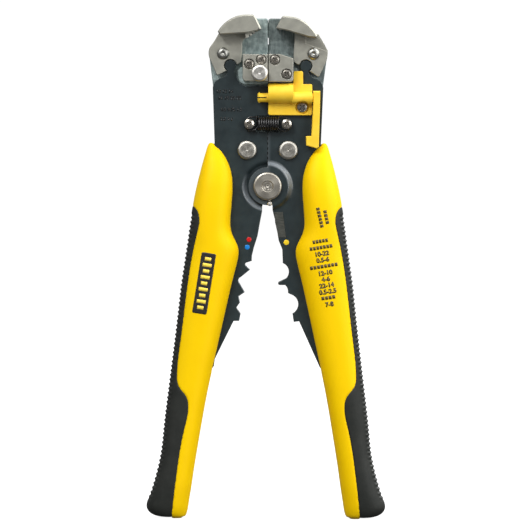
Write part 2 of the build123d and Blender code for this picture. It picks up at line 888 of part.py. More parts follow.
# ---------------------------------------------------------------- wire stop
def stop_bracket():
    """A moulded yellow bracket: base, upright finger and the sleeve of the stop shaft."""
    base_front = -3.4
    face = outline(
        (0.9, 30.4),
        (18.0, 30.4),
        ((18.6, 30.65), (18.87, 31.3)),
        (18.87, 43.0),
        ((18.7, 43.5), (18.2, 43.7)),
        (14.95, 43.7),
        (14.95, 48.3),
        ((14.7, 49.0), (14.1, 49.25)),
        (11.6, 49.25),
        ((11.0, 49.0), (10.75, 48.3)),
        (10.75, 43.9),
        (0.1, 43.9),
        (0.1, 31.2),
        ((0.35, 30.65), (0.9, 30.4)),
    )
    bracket = edged_slab(face, base_front, BRACKET_BACK)
    bulge = rod_x(-3.9, 39.8, 4.28, 0.1, 10.75)
    sleeve = rod_x(STOP_AXIS_Y, STOP_AXIS_Z, 2.6, 10.0, 18.87)
    back_space = box_between((-5, BRACKET_BACK, 20), (30, 10, 60))
    bracket = bracket + (bulge - back_space) + (sleeve - back_space)
    bracket = bracket - rod_x(STOP_AXIS_Y, STOP_AXIS_Z, STOP_SHAFT + RUN, -5, 30)
    bracket = bracket - disc(BRACKET_SCREW, 2.9, -10, -2.3)
    return bracket - disc(BRACKET_SCREW, BRACKET_SHANK + STATIC, -10, 0)


def stop_shaft():
    """Round shaft with a split, barbed end that snaps through the bracket."""
    end = STOP_BAR_X[0]
    shaft = rod_x(STOP_AXIS_Y, STOP_AXIS_Z, STOP_SHAFT, -4.0, end - STATIC)
    stub = rod_x(STOP_AXIS_Y, STOP_AXIS_Z, STOP_STUB, end - 1, STOP_BAR_X[1] - 0.3)
    barb_line = Polyline(
        (0, -4.45),
        (1.7, -4.45),
        (2.3, -3.9),
        (2.3, -3.5),
        (1.8, -3.3),
        (0, -3.3),
        close=True,
    )
    barb = revolve(make_face(barb_line), axis=Axis.Y)
    barb = Pos(0, STOP_AXIS_Y, STOP_AXIS_Z) * Rot(0, 0, -90) * barb
    shaft = shaft + stub + barb
    slot = box_between((-6, -10, STOP_AXIS_Z - 0.25), (-0.6, 0, STOP_AXIS_Z + 0.25))
    return shaft - slot


def stop_bar():
    """The flag that meets the wire's end: an arm with a foot, turning on the shaft."""
    start, end = STOP_BAR_X
    half = 1.7
    face = outline(
        (start, STOP_AXIS_Z),
        (start, 41.4),
        (end, 41.4),
        (end, STOP_AXIS_Z),
        (end - 0.5, 16.9),
        (end - 1.4, 16.3),
        (16.4, 17.6),
        (16.3, 21.5),
        (18.6, 21.6),
        (start, 35.2),
    )
    bar = edged_slab(face, STOP_AXIS_Y - half, STOP_AXIS_Y + half, 0.3)
    crown = rod_x(STOP_AXIS_Y, STOP_AXIS_Z, 3.0, 15, 25)
    above = box_between((15, -12, STOP_AXIS_Z), (25, 2, 45))
    bar = bar - (above - crown)
    return bar - rod_x(STOP_AXIS_Y, STOP_AXIS_Z, STOP_STUB + RUN, 15, 25)


def stop_bracket_screw():
    return screw(BRACKET_SCREW, 2.2, -3.5, -2.3 - STATIC, 5.0, BRACKET_SHANK)


# ---------------------------------------------------------------- assembly
right_core, right_overmould = grip_pieces()

nodes = {
    "right_handle_plate": right_handle_plate(),
    "left_handle_plate": left_handle_plate(),
    "right_grip_core": right_core,
    "left_grip_core": mirrored(right_core),
    "right_grip_overmould": right_overmould,
    "left_grip_overmould": mirrored(right_overmould),
    "main_pivot_rivet": main_pivot_rivet(),
    "pivot_washer": pivot_washer(),
    "handle_stop_pin": handle_stop_pin(),
    "right_cutter_insert": cutter_insert(),
    "left_cutter_insert": mirrored(mirror(cutter_insert(), about=Plane.XZ)),
    "right_jaw_rivet": jaw_rivet(),
    "left_jaw_rivet": mirrored(jaw_rivet()),
    "right_jaw_spring": torsion_spring(),
    "left_jaw_spring": mirrored(torsion_spring()),
    "return_spring": return_spring(),
    "right_spring_post": spring_post(),
    "left_spring_post": mirrored(spring_post()),
    "right_jaw_body": right_jaw_body(),
    "left_jaw_body": left_jaw_body(),
    "lower_blade_plate": lower_blade_plate(),
    "lower_grip_plate": lower_grip_plate(),
    "blade_plate_screws": jaw_screws(BLADE_SCREWS),
    "grip_plate_screws": [mirrored(one) for one in jaw_screws(GRIP_SCREWS)],
    "lower_blade": lower_blade(),
    "gripping_lever": gripping_lever(),
    "gripping_lever_pin": mirrored(lever_pin()),
    "blade_lever": blade_lever(),
    "blade_lever_pin": lever_pin(),
    "upper_blade": upper_blade(),
    "tension_knob": tension_knob(),
    "knob_spring": knob_spring(),
    "knob_nut": knob_nut(),
    "stop_bracket": stop_bracket(),
    "stop_bracket_screw": stop_bracket_screw(),
    "stop_shaft": stop_shaft(),
    "stop_bar": stop_bar(),
}

# The knob stands furthest forward and the jaw bodies furthest back.
to_origin = Pos(0, (FORWARD_REACH - BACK) / 2, PIVOT_HEIGHT)

os.makedirs("parts", exist_ok=True)
for name, shape in nodes.items():
    pieces = shape if isinstance(shape, list) else [shape]
    solids = [solid for piece in pieces for solid in (to_origin * piece).solids()]
    export_step(Compound(children=solids), f"parts/{name}.step")
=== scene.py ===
import json
from math import atan2, cos, pi, radians, sin, tau

import bmesh
import bpy
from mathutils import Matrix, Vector
from mathutils.bvhtree import BVHTree


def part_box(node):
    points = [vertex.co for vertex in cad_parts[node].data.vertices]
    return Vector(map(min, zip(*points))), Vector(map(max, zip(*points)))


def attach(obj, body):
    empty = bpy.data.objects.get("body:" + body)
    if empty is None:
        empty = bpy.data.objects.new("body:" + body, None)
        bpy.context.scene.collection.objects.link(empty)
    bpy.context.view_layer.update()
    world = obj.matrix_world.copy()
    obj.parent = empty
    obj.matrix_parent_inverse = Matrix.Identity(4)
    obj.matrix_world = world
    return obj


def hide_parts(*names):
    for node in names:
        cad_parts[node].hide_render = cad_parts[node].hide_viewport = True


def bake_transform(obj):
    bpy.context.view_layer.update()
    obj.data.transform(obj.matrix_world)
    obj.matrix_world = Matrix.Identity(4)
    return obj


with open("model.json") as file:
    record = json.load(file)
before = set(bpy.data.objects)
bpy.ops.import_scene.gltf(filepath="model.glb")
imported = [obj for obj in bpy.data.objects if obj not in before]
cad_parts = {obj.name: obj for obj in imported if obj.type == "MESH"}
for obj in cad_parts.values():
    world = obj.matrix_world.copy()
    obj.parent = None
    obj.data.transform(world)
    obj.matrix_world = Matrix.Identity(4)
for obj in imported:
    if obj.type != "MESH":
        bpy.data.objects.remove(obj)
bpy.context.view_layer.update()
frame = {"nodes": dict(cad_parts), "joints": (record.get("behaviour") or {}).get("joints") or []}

MM = 0.001
JOINTS = {joint["name"]: joint for joint in frame["joints"]}
PIVOT = Vector(JOINTS["handle_squeeze"]["pos_m"])
PLATE_FRONT = -1.5  # y of the handle plates' front faces, in millimetres from the pivot


def spot(x, y, z):
    """A point given in millimetres from the main pivot."""
    return PIVOT + Vector((x, y, z)) * MM


def middle_of(node):
    low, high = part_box(node)
    return (low + high) / 2


# ---------------------------------------------------------------- material kit
class Shader:
    """A principled material and the few node shortcuts that the finishes need."""

    def __init__(self, name, colour, metallic=0.0, roughness=0.5, **inputs):
        self.material = bpy.data.materials.new(name)
        self.material.use_nodes = True
        self.material.diffuse_color = (*colour, 1)
        self.nodes = self.material.node_tree.nodes
        self.links = self.material.node_tree.links
        self.surface = self.nodes["Principled BSDF"]
        self.set("Base Color", (*colour, 1))
        self.set("Metallic", metallic)
        self.set("Roughness", roughness)
        for key, value in inputs.items():
            self.set(key.replace("_", " "), value)
        self.place = self.nodes.new("ShaderNodeTexCoord").outputs["Object"]
        self.height = None

    def set(self, name, value):
        self.surface.inputs[name].default_value = value

    def wire(self, source, name):
        self.links.new(source, self.surface.inputs[name])

    def node(self, kind, **inputs):
        made = self.nodes.new("ShaderNode" + kind)
        for key, value in inputs.items():
            socket = made.inputs[key.replace("_", " ")]
            if isinstance(value, bpy.types.NodeSocket):
                self.links.new(value, socket)
            else:
                socket.default_value = value
        return made

    def math(self, operation, first, second=0.0):
        made = self.nodes.new("ShaderNodeMath")
        made.operation = operation
        for index, value in enumerate((first, second)):
            if isinstance(value, bpy.types.NodeSocket):
                self.links.new(value, made.inputs[index])
            else:
                made.inputs[index].default_value = value
        return made.outputs[0]

    def noise(self, size_mm, detail=3.0, stretch=(1, 1, 1)):
        """Noise whose grains are about size_mm across, drawn out by stretch."""
        scale = self.nodes.new("ShaderNodeVectorMath")
        scale.operation = "MULTIPLY"
        self.links.new(self.place, scale.inputs[0])
        scale.inputs[1].default_value = [1 / (size_mm * MM * s) for s in stretch]
        texture = self.node("TexNoise", Scale=1.0, Detail=detail)
        self.links.new(scale.outputs[0], texture.inputs["Vector"])
        return texture.outputs["Fac"]

    def remap(self, value, low, high, new_low, new_high):
        made = self.node("MapRange", Value=value)
        for key, number in zip(("From Min", "From Max", "To Min", "To Max"),
                               (low, high, new_low, new_high)):
            made.inputs[key].default_value = number
        return made.outputs[0]

    def colours(self, value, stops):
        """Colours along value, as pairs (position, colour)."""
        ramp = self.nodes.new("ShaderNodeValToRGB")
        self.links.new(value, ramp.inputs["Fac"])
        elements = ramp.color_ramp.elements
        while len(elements) < len(stops):
            elements.new(0.5)
        for element, (position, colour) in zip(elements, stops):
            element.position = position
            element.color = (*colour, 1)
        return ramp.outputs["Color"]

    def bump(self, value, depth_mm, strength=1.0):
        """Adds relief on top of what is already there."""
        made = self.node("Bump", Strength=strength, Distance=depth_mm * MM, Height=value)
        if self.height is not None:
            self.links.new(self.height, made.inputs["Normal"])
        self.height = made.outputs["Normal"]
        self.wire(self.height, "Normal")

    def round_edges(self, radius_mm):
        """Softens sharp edges in the shading, under any relief."""
        made = self.nodes.new("ShaderNodeBevel")
        made.samples = 4
        made.inputs["Radius"].default_value = radius_mm * MM
        self.height = made.outputs["Normal"]
        self.wire(self.height, "Normal")

    def edge_mask(self, radius_mm):
        """1 near a sharp edge, 0 on open faces."""
        rounded = self.nodes.new("ShaderNodeBevel")
        rounded.samples = 4
        rounded.inputs["Radius"].default_value = radius_mm * MM
        plain = self.nodes.new("ShaderNodeNewGeometry").outputs["Normal"]
        dot = self.nodes.new("ShaderNodeVectorMath")
        dot.operation = "DOT_PRODUCT"
        self.links.new(rounded.outputs[0], dot.inputs[0])
        self.links.new(plain, dot.inputs[1])
        return self.remap(dot.outputs["Value"], 0.995, 0.85, 0.0, 1.0)


def mixed(shader, factor, first, second):
    made = shader.nodes.new("ShaderNodeMix")
    made.data_type = "RGBA"
    for index, value in ((0, factor), (6, first), (7, second)):
        if isinstance(value, bpy.types.NodeSocket):
            shader.links.new(value, made.inputs[index])
        elif index == 0:
            made.inputs[index].default_value = value
        else:
            made.inputs[index].default_value = (*value, 1)
    return made.outputs[2]


# ---------------------------------------------------------------- finishes
def black_plate_finish(name, seam_shine=0.0):
    """Blue-black satin coating over ground steel, a little rubbed at its edges.
    Highlights of the photo are painted in as a paler colour, whatever the light: on slopes
    that face up and to the right, and beside the seam by seam_shine, fading away from it."""
    s = Shader(name, (0.022, 0.03, 0.035), roughness=0.4, Specular_IOR_Level=0.6)
    facing = s.nodes.new("ShaderNodeVectorMath")
    facing.operation = "DOT_PRODUCT"
    s.links.new(s.nodes.new("ShaderNodeNewGeometry").outputs["Normal"], facing.inputs[0])
    up_and_right = (0.72, -0.2, 0.66)
    facing.inputs[1].default_value = up_and_right
    painted = s.remap(facing.outputs["Value"], 0.3, 0.75, 0.0, 1.0)
    apart = s.nodes.new("ShaderNodeSeparateXYZ")
    s.links.new(s.place, apart.inputs[0])
    strip_near, strip_far = spot(0.1, 0, 0).x, spot(1.5, 0, 0).x
    strip_end, strip_full = spot(0, 0, 34).z, spot(0, 0, 31).z
    across = s.remap(apart.outputs["X"], strip_near, strip_far, seam_shine, 0.0)
    below = s.remap(apart.outputs["Z"], strip_end, strip_full, 0.0, 1.0)
    painted = s.math("MAXIMUM", painted, s.math("MULTIPLY", across, below))
    s.round_edges(0.25)
    cloud = s.noise(6.0, 4.0)
    base = s.colours(cloud, ((0.3, (0.011, 0.019, 0.022)), (0.7, (0.019, 0.031, 0.034))))
    rubbed = s.math("MULTIPLY", s.edge_mask(0.25), s.remap(s.noise(1.2), 0.45, 0.75, 0.0, 0.5))
    worn = mixed(s, rubbed, base, (0.16, 0.17, 0.175))
    highlight = (0.2, 0.225, 0.245)
    s.wire(mixed(s, painted, worn, highlight), "Base Color")
    s.wire(s.remap(s.noise(2.0, 3.0), 0.3, 0.7, 0.3, 0.38), "Roughness")
    s.bump(s.noise(2.0, 2.0), 0.01, 0.15)
    return s.material


def lever_finish():
    """Bead-blasted nickel: warm grey, fine even grain, brighter rubbed edges."""
    s = Shader("blasted_nickel", (0.42, 0.39, 0.35), metallic=0.85, roughness=0.5)
    s.round_edges(0.2)
    grain = s.noise(0.3, 3.0)
    cloud = s.noise(3.5, 4.0)
    base = s.colours(cloud, ((0.3, (0.35, 0.345, 0.3)), (0.7, (0.45, 0.445, 0.385))))
    edge = s.math("MULTIPLY", s.edge_mask(0.22), s.remap(s.noise(0.9), 0.35, 0.65, 0.2, 0.9))
    s.wire(mixed(s, edge, base, (0.72, 0.68, 0.6)), "Base Color")
    s.wire(s.remap(grain, 0.3, 0.7, 0.42, 0.6), "Roughness")
    s.bump(grain, 0.03, 0.45)
    return s.material


def die_cast_finish(name, light):
    """Raw zinc casting: blue-grey, mottled, with small pits and faint drag lines.
    light scales its colour as painted light and shade: the left jaw is painted lighter and the
    right one darker, for the light that falls on each."""
    s = Shader(name, (0.3, 0.35, 0.37), metallic=0.55, roughness=0.5)
    s.round_edges(0.3)
    mottle = s.noise(1.6, 6.0)
    base = s.colours(mottle, (
        (0.28, (0.11 * light, 0.14 * light, 0.138 * light)),
        (0.5, (0.17 * light, 0.21 * light, 0.205 * light)),
        (0.72, (0.26 * light, 0.31 * light, 0.30 * light)),
    ))
    drag = s.noise(0.5, 2.0, stretch=(0.5, 0.5, 9.0))
    s.wire(mixed(s, s.remap(drag, 0.55, 0.75, 0.0, 0.35), base, (0.55, 0.6, 0.6)), "Base Color")
    s.wire(s.remap(mottle, 0.3, 0.7, 0.42, 0.62), "Roughness")
    s.bump(mottle, 0.03, 0.4)
    s.bump(s.noise(0.35, 2.0), 0.03, 0.3)
    return s.material


def turned_finish(name, centre, pitch_mm, colour, roughness=0.3):
    """Bright metal faced on a lathe: fine rings round centre and a bow-tie highlight."""
    s = Shader(name, colour, metallic=1.0, roughness=roughness, Anisotropic=0.6)
    s.round_edges(0.15)
    offset = s.nodes.new("ShaderNodeVectorMath")
    offset.operation = "SUBTRACT"
    s.links.new(s.place, offset.inputs[0])
    offset.inputs[1].default_value = centre
    flat = s.nodes.new("ShaderNodeVectorMath")
    flat.operation = "MULTIPLY"
    s.links.new(offset.outputs[0], flat.inputs[0])
    flat.inputs[1].default_value = (1, 0, 1)
    length = s.nodes.new("ShaderNodeVectorMath")
    length.operation = "LENGTH"
    s.links.new(flat.outputs[0], length.inputs[0])
    around = s.nodes.new("ShaderNodeVectorMath")
    around.operation = "CROSS_PRODUCT"
    around.inputs[0].default_value = (0, 1, 0)
    s.links.new(flat.outputs[0], around.inputs[1])
    unit = s.nodes.new("ShaderNodeVectorMath")
    unit.operation = "NORMALIZE"
    s.links.new(around.outputs[0], unit.inputs[0])
    s.wire(unit.outputs[0], "Tangent")
    radius = s.math("DIVIDE", length.outputs["Value"], pitch_mm * MM)
    ring_noise = s.nodes.new("ShaderNodeTexNoise")
    ring_noise.noise_dimensions = "1D"
    ring_noise.inputs["Scale"].default_value = 1.0
    ring_noise.inputs["Detail"].default_value = 2.0
    s.links.new(radius, ring_noise.inputs["W"])
    rings = ring_noise.outputs["Fac"]
    s.bump(rings, 0.015, 0.4)
    s.wire(s.remap(rings, 0.3, 0.7, roughness + 0.05, roughness + 0.18), "Roughness")
    dark = tuple(0.72 * c for c in colour)
    stain = s.remap(s.noise(1.6, 3.0), 0.35, 0.7, 0.0, 0.35)
    base = mixed(s, s.remap(rings, 0.35, 0.65, 0.0, 1.0), dark, colour)
    s.wire(mixed(s, stain, base, dark), "Base Color")
    return s.material


def screw_finish():
    """Nickel-plated screws, with painted shade darkening their recesses and the gaps round them.
    """
    s = Shader("screw_steel", (0.6, 0.57, 0.5), metallic=1.0, roughness=0.28)
    s.round_edges(0.1)
    stain = s.noise(0.7, 4.0)
    base = s.colours(stain, ((0.35, (0.24, 0.22, 0.18)), (0.6, (0.5, 0.47, 0.42))))
    # Painted shade: near black in recesses and close gaps, found by ambient occlusion.
    painted_shade_reach = s.node("AmbientOcclusion", Distance=0.6 * MM)
    painted_shade_reach.samples = 4
    depth = s.remap(painted_shade_reach.outputs["AO"], 0.2, 0.75, 0.75, 0.0)
    s.wire(mixed(s, depth, base, (0.05, 0.045, 0.035)), "Base Color")
    s.wire(s.remap(stain, 0.3, 0.7, 0.4, 0.22), "Roughness")
    s.bump(s.noise(0.3), 0.015, 0.4)
    return s.material


def spring_finish():
    """Oiled black spring wire."""
    s = Shader("spring_wire", (0.006, 0.006, 0.0065), roughness=0.26, Specular_IOR_Level=0.5)
    s.set("IOR", 1.6)
    s.wire(s.remap(s.noise(0.5), 0.3, 0.7, 0.2, 0.36), "Roughness")
    s.bump(s.noise(0.2, 2.0, stretch=(4, 1, 1)), 0.01, 0.3)
    return s.material


def cutter_finish():
    """Dark hardened steel with grinding lines across."""
    s = Shader("cutter_steel", (0.1, 0.105, 0.095), metallic=0.7, roughness=0.42)
    s.round_edges(0.15)
    lines = s.noise(0.18, 2.0, stretch=(14, 1, 1))
    base = s.colours(lines, ((0.3, (0.06, 0.065, 0.058)), (0.7, (0.14, 0.145, 0.13))))
    s.wire(base, "Base Color")
    s.bump(lines, 0.01, 0.5)
    return s.material


def knife_finish():
    s = Shader("knife_steel", (0.6, 0.6, 0.6), metallic=1.0, roughness=0.25)
    s.round_edges(0.05)
    lines = s.noise(0.1, 2.0, stretch=(1, 1, 20))
    s.wire(s.remap(lines, 0.3, 0.7, 0.18, 0.35), "Roughness")
    s.bump(lines, 0.006, 0.5)
    return s.material


def yellow_grip_finish():
    """Satin hard yellow moulding with a faint ripple from the mould."""
    s = Shader("yellow_grip", (1.0, 0.68, 0.0), roughness=0.5, Specular_IOR_Level=0.1)
    cloud = s.noise(9.0, 3.0)
    base = s.colours(cloud, ((0.3, (0.91, 0.58, 0.0)), (0.7, (0.93, 0.605, 0.0))))
    s.wire(base, "Base Color")
    s.wire(s.remap(s.noise(1.5, 4.0), 0.3, 0.7, 0.44, 0.56), "Roughness")
    s.bump(s.noise(0.9, 2.0), 0.02, 0.12)
    return s.material


def rubber_finish():
    """Soft black overmould with a fine spark-eroded grain."""
    s = Shader("black_rubber", (0.03, 0.03, 0.028), roughness=0.62, Specular_IOR_Level=0.3)
    grain = s.noise(0.32, 3.0)
    cloud = s.noise(5.0, 3.0)
    base = s.colours(cloud, ((0.3, (0.012, 0.014, 0.012)), (0.7, (0.02, 0.022, 0.019))))
    s.wire(base, "Base Color")
    s.wire(s.remap(grain, 0.3, 0.7, 0.5, 0.75), "Roughness")
    s.bump(grain, 0.07, 0.6)
    return s.material


def yellow_stop_finish():
    """Satin acetal moulding in a softer yellow."""
    s = Shader("yellow_stop", (0.91, 0.6, 0.035), roughness=0.5, Specular_IOR_Level=0.3)
    s.round_edges(0.2)
    cloud = s.noise(4.0, 3.0)
    base = s.colours(cloud, ((0.3, (0.88, 0.56, 0.028)), (0.7, (0.94, 0.63, 0.05))))
    s.wire(base, "Base Color")
    s.wire(s.remap(s.noise(0.8, 3.0), 0.3, 0.7, 0.44, 0.56), "Roughness")
    s.bump(s.noise(0.5, 2.0), 0.015, 0.2)
    return s.material


def paint_finish(name, colour):
    s = Shader(name, colour, roughness=0.25)
    s.wire(s.remap(s.noise(0.5), 0.3, 0.7, 0.2, 0.4), "Roughness")
    s.bump(s.noise(0.6), 0.03, 0.3)
    return s.material


def label_finish():
    s = Shader("label_black", (0.016, 0.014, 0.014), roughness=0.4)
    s.wire(s.remap(s.noise(1.0, 4.0), 0.3, 0.7, 0.34, 0.5), "Roughness")
    s.bump(s.noise(0.3, 2.0), 0.01, 0.3)
    return s.material


def ink_finish():
    """Thin dark brown print, slightly worn."""
    s = Shader("print_ink", (0.07, 0.03, 0.01), roughness=0.5)
    wear = s.noise(0.5, 4.0)
    base = s.colours(wear, ((0.35, (0.03, 0.022, 0.004)), (0.75, (0.16, 0.1, 0.01))))
    s.wire(base, "Base Color")
    return s.material


# ---------------------------------------------------------------- CAD nodes that stay
def paint(names, material):
    for name in names:
        node = frame["nodes"][name]
        node.data.materials.clear()
        node.data.materials.append(material)


# ---------------------------------------------------------------- new pieces
def added(name, mesh, material, body):
    """Adds a mesh as a piece that rides on a body."""
    made = bpy.data.objects.new(name, mesh)
    bpy.context.scene.collection.objects.link(made)
    mesh.materials.clear()
    mesh.materials.append(material)
    for polygon in mesh.polygons:
        polygon.use_smooth = True
    if body:
        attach(made, body)
    return made


def dense_copy(node, voxel_mm, rounds, grow_mm):
    """A dense, even mesh of a CAD node with its sharp edges rounded, then grown a little to
    make good what the rounding takes off."""
    made = bpy.data.objects.new("working_copy", frame["nodes"][node].data.copy())
    bpy.context.scene.collection.objects.link(made)
    weld = made.modifiers.new("weld", "WELD")
    weld.merge_threshold = 0.002 * MM
    remesh = made.modifiers.new("remesh", "REMESH")
    remesh.mode = "VOXEL"
    remesh.voxel_size = voxel_mm * MM
    smooth = made.modifiers.new("smooth", "SMOOTH")
    smooth.factor = 0.5
    smooth.iterations = rounds
    grow = made.modifiers.new("grow", "DISPLACE")
    grow.mid_level = 0.0
    grow.strength = grow_mm * MM
    depsgraph = bpy.context.evaluated_depsgraph_get()
    mesh = bpy.data.meshes.new_from_object(made.evaluated_get(depsgraph))
    bpy.data.objects.remove(made)
    for layer in ("custom_normal", "sharp_edge", "sharp_face"):
        if layer in mesh.attributes:
            mesh.attributes.remove(mesh.attributes[layer])
    return mesh


def smooth_step(value, low, high):
    t = min(1.0, max(0.0, (value - low) / (high - low)))
    return t * t * (3 - 2 * t)


def cut_ridges(mesh, side):
    """Cross ridges down the outer edge of an overmould."""
    pitch = 1.93
    depth = 0.55
    foot, foot_full = -136.0, -131.0
    top_full, top = -13.5, -11.0
    moves = []
    for vertex in mesh.vertices:
        z = (vertex.co.z - PIVOT.z) / MM
        facing = smooth_step(vertex.normal.x * side, 0.72, 0.92)
        zone = smooth_step(z, foot, foot_full) * (1 - smooth_step(z, top_full, top))
        groove = 0.5 - 0.5 * cos(tau * z / pitch)
        moves.append(vertex.normal * (-depth * MM * facing * zone * groove ** 0.7))
    for vertex, move in zip(mesh.vertices, moves):
        vertex.co += move


def grip_skins(side, material_core, material_rubber):
    """The two mouldings of one grip, as dense meshes in place of their CAD nodes."""
    hand = "right" if side > 0 else "left"
    arm = hand + "_arm"
    core = added(hand + "_grip_core_skin", dense_copy(hand + "_grip_core", 0.45, 3, 0.12),
                 material_core, arm)
    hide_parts(hand + "_grip_core")
    mesh = dense_copy(hand + "_grip_overmould", 0.32, 3, 0.16)
    cut_ridges(mesh, side)
    rubber = added(hand + "_grip_overmould_skin", mesh, material_rubber, arm)
    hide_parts(hand + "_grip_overmould")
    return core


class Front:
    """Finds the front surface of a piece at a given x and z."""

    def __init__(self, piece):
        mesh = piece.data
        self.tree = BVHTree.FromPolygons(
            [v.co.copy() for v in mesh.vertices], [tuple(p.vertices) for p in mesh.polygons]
        )

    def y(self, x, z):
        hit = self.tree.ray_cast(Vector((x, -1.0, z)), Vector((0, 1, 0)))[0]
        return hit.y if hit else 0.0


def draped(name, shape, centre, turn, front, proud_mm, material, body):
    """A thin closed sticker: shape is (points, faces) in millimetres, laid on a front surface.
    turn is in degrees, counterclockwise seen from the front."""
    sunk_mm = 0.15
    points, faces = shape
    c = cos(radians(turn))
    s = sin(radians(turn))
    mesh = bpy.data.meshes.new(name)
    bm = bmesh.new()
    outer = []
    inner = []
    for x, z in points:
        place = spot(centre[0] + c * x - s * z, 0, centre[1] + s * x + c * z)
        y = front(place.x, place.z)
        outer.append(bm.verts.new((place.x, y - proud_mm * MM, place.z)))
        inner.append(bm.verts.new((place.x, y + sunk_mm * MM, place.z)))
    used = {}
    for face in faces:
        bm.faces.new([outer[i] for i in face])
        bm.faces.new([inner[i] for i in reversed(face)])
        for a, b in zip(face, face[1:] + face[:1]):
            used[(a, b)] = used.get((a, b), 0) + 1
    for a, b in used:
        if (b, a) not in used:
            bm.faces.new([outer[b], outer[a], inner[a], inner[b]])
    bmesh.ops.recalc_face_normals(bm, faces=bm.faces)
    bm.to_mesh(mesh)
    bm.free()
    made = added(name, mesh, material, body)
    for polygon in mesh.polygons:
        polygon.use_smooth = abs(polygon.normal.y) > 0.5
    return made


def grid(width, height, columns, rows, corner=0.0):
    """A rectangle of small faces in millimetres, its corners drawn in to a radius."""
    points = []
    for row in range(rows + 1):
        z = height * (row / rows - 0.5)
        for column in range(columns + 1):
            x = width * (column / columns - 0.5)
            past_x = abs(x) - (width / 2 - corner)
            past_z = abs(z) - (height / 2 - corner)
            if corner and past_x > 0 and past_z > 0:
                reach = max(past_x, past_z) / max(1e-9, (past_x ** 2 + past_z ** 2) ** 0.5)
                points.append((
                    (width / 2 - corner + past_x * reach) * (1 if x > 0 else -1),
                    (height / 2 - corner + past_z * reach) * (1 if z > 0 else -1),
                ))
            else:
                points.append((x, z))
    across = columns + 1
    faces = []
    for row in range(rows):
        for column in range(columns):
            first = row * across + column
            faces.append([first, first + 1, first + across + 1, first + across])
    return points, faces


def figures(text, height_mm):
    """Numerals as points and faces in millimetres, centred."""
    size_per_height = 1.38
    curve = bpy.data.curves.new("figures", "FONT")
    curve.body = text
    curve.size = height_mm * size_per_height
    curve.align_x = "CENTER"
    curve.align_y = "CENTER"
    curve.offset = 0.08 * height_mm
    curve.resolution_u = 3
    made = bpy.data.objects.new("figures", curve)
    bpy.context.scene.collection.objects.link(made)
    depsgraph = bpy.context.evaluated_depsgraph_get()
    mesh = bpy.data.meshes.new_from_object(made.evaluated_get(depsgraph))
    bpy.data.objects.remove(made)
    bm = bmesh.new()
    bm.from_mesh(mesh)
    bmesh.ops.remove_doubles(bm, verts=bm.verts, dist=0.002)
    bmesh.ops.triangulate(bm, faces=bm.faces)
    bm.verts.index_update()
    points = [(v.co.x, v.co.y) for v in bm.verts]
    faces = []
    for face in bm.faces:
        ring = [v.index for v in face.verts]
        faces.append(ring if face.normal.z > 0 else ring[::-1])
    bm.free()
    bpy.data.meshes.remove(mesh)
    return points, faces


def merged(parts):
    """Joins (points, faces) shapes, each moved by its (x, z)."""
    points = []
    faces = []
    for (some_points, some_faces), (dx, dz) in parts:
        base = len(points)
        points += [(x + dx, z + dz) for x, z in some_points]
        faces += [[i + base for i in face] for face in some_faces]
    return points, faces


def lathe(name, centre, profile, material, body, steps=64):
    """A closed turned piece about a y line; profile is (radius, y) in millimetres."""
    mesh = bpy.data.meshes.new(name)
    bm = bmesh.new()
    rings = []
    for radius, y in profile:
        if radius < 1e-6:
            rings.append([bm.verts.new(spot(centre[0], y, centre[1]))])
            continue
        ring = []
        for step in range(steps):
            turn = tau * step / steps
            ring.append(bm.verts.new(spot(centre[0] + radius * cos(turn), y,
                                          centre[1] + radius * sin(turn))))
        rings.append(ring)
    for first, second in zip(rings, rings[1:]):
        for step in range(steps):
            after = (step + 1) % steps
            corners = [first[step % len(first)], first[after % len(first)],
                       second[after % len(second)], second[step % len(second)]]
            unique = list(dict.fromkeys(corners))
            bm.faces.new(unique)
    bmesh.ops.recalc_face_normals(bm, faces=bm.faces)
    bm.to_mesh(mesh)
    bm.free()
    return added(name, mesh, material, body)


def wire(name, path, radius_mm, material, sides=12):
    """A round wire through a list of points, closed at both ends."""
    mesh = bpy.data.meshes.new(name)
    bm = bmesh.new()
    rings = []
    across = None
    for index, here in enumerate(path):
        ahead = path[min(index + 1, len(path) - 1)]
        behind = path[max(index - 1, 0)]
        along = (ahead - behind).normalized()
        if across is None:
            across = along.orthogonal().normalized()
        across = (across - along * across.dot(along)).normalized()
        up = along.cross(across)
        ring = []
        for side in range(sides):
            turn = tau * side / sides
            offset = across * cos(turn) + up * sin(turn)
            ring.append(bm.verts.new(here + offset * radius_mm * MM))
        rings.append(ring)
    for first, second in zip(rings, rings[1:]):
        for side in range(sides):
            after = (side + 1) % sides
            bm.faces.new([first[side], first[after], second[after], second[side]])
    bm.faces.new(rings[0][::-1])
    bm.faces.new(rings[-1])
    bmesh.ops.recalc_face_normals(bm, faces=bm.faces)
    bm.to_mesh(mesh)
    bm.free()
    return added(name, mesh, material, None)


def eased(path, rounds):
    """Rounds the corners of a path."""
    for _ in range(rounds):
        inner = [(a + 2 * b + c) / 4 for a, b, c in zip(path, path[1:], path[2:])]
        path = [path[0]] + inner + [path[-1]]
    return path


